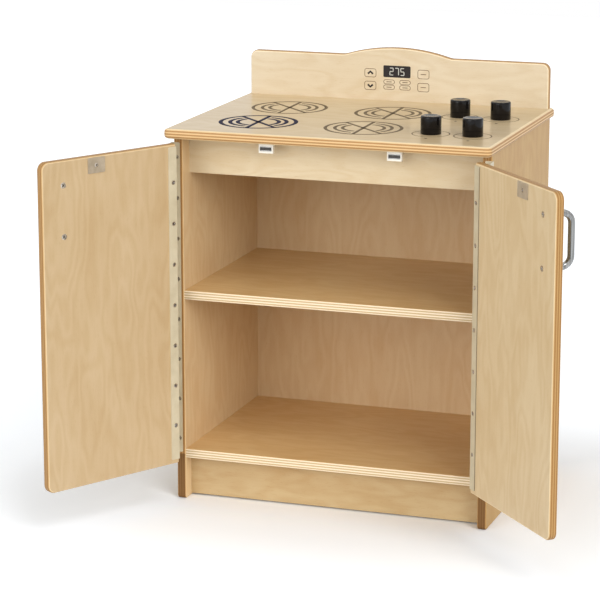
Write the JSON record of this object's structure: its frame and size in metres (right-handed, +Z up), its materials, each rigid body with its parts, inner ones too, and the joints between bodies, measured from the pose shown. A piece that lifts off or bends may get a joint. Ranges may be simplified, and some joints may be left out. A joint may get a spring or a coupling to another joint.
{
  "type": "toy stove",
  "caption": "Plywood play stove: a cupboard with two hinged doors and shelves inside, turning knobs on its hob and a low arched backsplash.",
  "frame": {"origin": "on the floor, under the middle of the front edges of the two side panels, where the shut doors close the carcass", "axes": "+Z up, -Y the way the front faces, +X to the right of someone who stands in front of it"},
  "size_m": [0.7883, 0.6013, 0.6713],
  "materials": {
    "birch_plywood": "clear satin lacquer over birch face veneer, stacked plies on the edges",
    "dowel_beech": "bare",
    "hinge_enamel": "satin cream enamel",
    "screw_steel": "bright zinc",
    "handle_steel": "satin brushed",
    "strike_steel": "dull zinc",
    "catch_plastic": "moulded white",
    "magnet": "dull dark grey ceramic magnet",
    "pole_steel": "dark",
    "knob_plastic": "black, moulded, semi gloss"
  },
  "bodies": {
    "stove": {"left_side": "birch_plywood", "right_side": "birch_plywood", "middle_shelf": "birch_plywood", "bottom_shelf": "birch_plywood", "top_rail": "birch_plywood", "base_rail": "birch_plywood", "back_panel": "birch_plywood", "hob": "birch_plywood", "hob_dowels": "dowel_beech", "backsplash": "birch_plywood", "backsplash_screws": "screw_steel", "catch_screws": "screw_steel", "left_cabinet_leaf": "hinge_enamel", "left_cabinet_leaf_screws": "screw_steel", "left_hinge_pin": "hinge_enamel", "left_catch_housing": "catch_plastic", "left_catch_magnet": "magnet", "left_catch_poles": "pole_steel", "right_cabinet_leaf": "hinge_enamel", "right_cabinet_leaf_screws": "screw_steel", "right_hinge_pin": "hinge_enamel", "right_catch_housing": "catch_plastic", "right_catch_magnet": "magnet", "right_catch_poles": "pole_steel"},
    "left_door": {"left_door": "birch_plywood", "left_door_leaf": "hinge_enamel", "left_door_leaf_screws": "screw_steel", "left_handle": "handle_steel", "left_handle_screws": "screw_steel", "left_strike_plate": "strike_steel", "left_strike_screw": "screw_steel"},
    "right_door": {"right_door": "birch_plywood", "right_door_leaf": "hinge_enamel", "right_door_leaf_screws": "screw_steel", "right_handle": "handle_steel", "right_handle_screws": "screw_steel", "right_strike_plate": "strike_steel", "right_strike_screw": "screw_steel"},
    "front_left_knob": {"front_left_knob": "knob_plastic", "front_left_knob_screw": "screw_steel", "front_left_knob_washer": "screw_steel"},
    "front_right_knob": {"front_right_knob": "knob_plastic", "front_right_knob_screw": "screw_steel", "front_right_knob_washer": "screw_steel"},
    "back_left_knob": {"back_left_knob": "knob_plastic", "back_left_knob_screw": "screw_steel", "back_left_knob_washer": "screw_steel"},
    "back_right_knob": {"back_right_knob": "knob_plastic", "back_right_knob_screw": "screw_steel", "back_right_knob_washer": "screw_steel"}
  },
  "joints": [
    {"name": "left_door_hinge", "type": "hinge", "parent": "stove", "child": "left_door", "pos_m": [-0.2494, -0.024, 0.319], "axis": [0, 0, 1], "range_deg": [-135.5, 119.5]},
    {"name": "right_door_hinge", "type": "hinge", "parent": "stove", "child": "right_door", "pos_m": [0.2494, -0.024, 0.319], "axis": [0, 0, 1], "range_deg": [-131.7, 123.3]},
    {"name": "front_left_knob_turn", "type": "hinge", "parent": "stove", "child": "front_left_knob", "pos_m": [0.138, 0.06, 0.5868], "axis": [0, 0, 1], "continuous": true},
    {"name": "front_right_knob_turn", "type": "hinge", "parent": "stove", "child": "front_right_knob", "pos_m": [0.202, 0.06, 0.5868], "axis": [0, 0, 1], "continuous": true},
    {"name": "back_left_knob_turn", "type": "hinge", "parent": "stove", "child": "back_left_knob", "pos_m": [0.138, 0.221, 0.5868], "axis": [0, 0, 1], "continuous": true},
    {"name": "back_right_knob_turn", "type": "hinge", "parent": "stove", "child": "back_right_knob", "pos_m": [0.202, 0.221, 0.5868], "axis": [0, 0, 1], "continuous": true}
  ]
}
